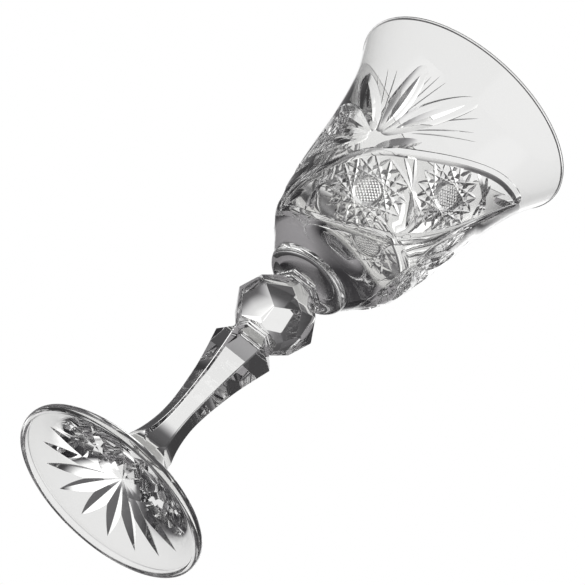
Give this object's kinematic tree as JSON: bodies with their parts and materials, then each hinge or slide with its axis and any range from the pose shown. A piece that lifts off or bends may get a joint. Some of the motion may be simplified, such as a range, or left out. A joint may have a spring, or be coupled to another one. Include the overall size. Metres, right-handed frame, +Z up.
{
  "type": "liqueur glass",
  "caption": "Stemmed liqueur glass in cut crystal: flared bowl with climbing star panels and fans, faceted knop, six-sided stem and a hollow foot with a star cut.",
  "frame": {"origin": "centre of the ring that the foot rests on, on the table surface", "axes": "+Z up along the axis of the glass, -Y towards the side seen in the picture"},
  "size_m": [0.057, 0.057, 0.135],
  "materials": {
    "crystal": "polished clear crystal, wheel cut"
  },
  "bodies": {
    "root": {"foot": "crystal", "stem": "crystal", "neck_ring": "crystal", "knop": "crystal", "collar": "crystal", "merese": "crystal", "bowl": "crystal"}
  },
  "joints": []
}
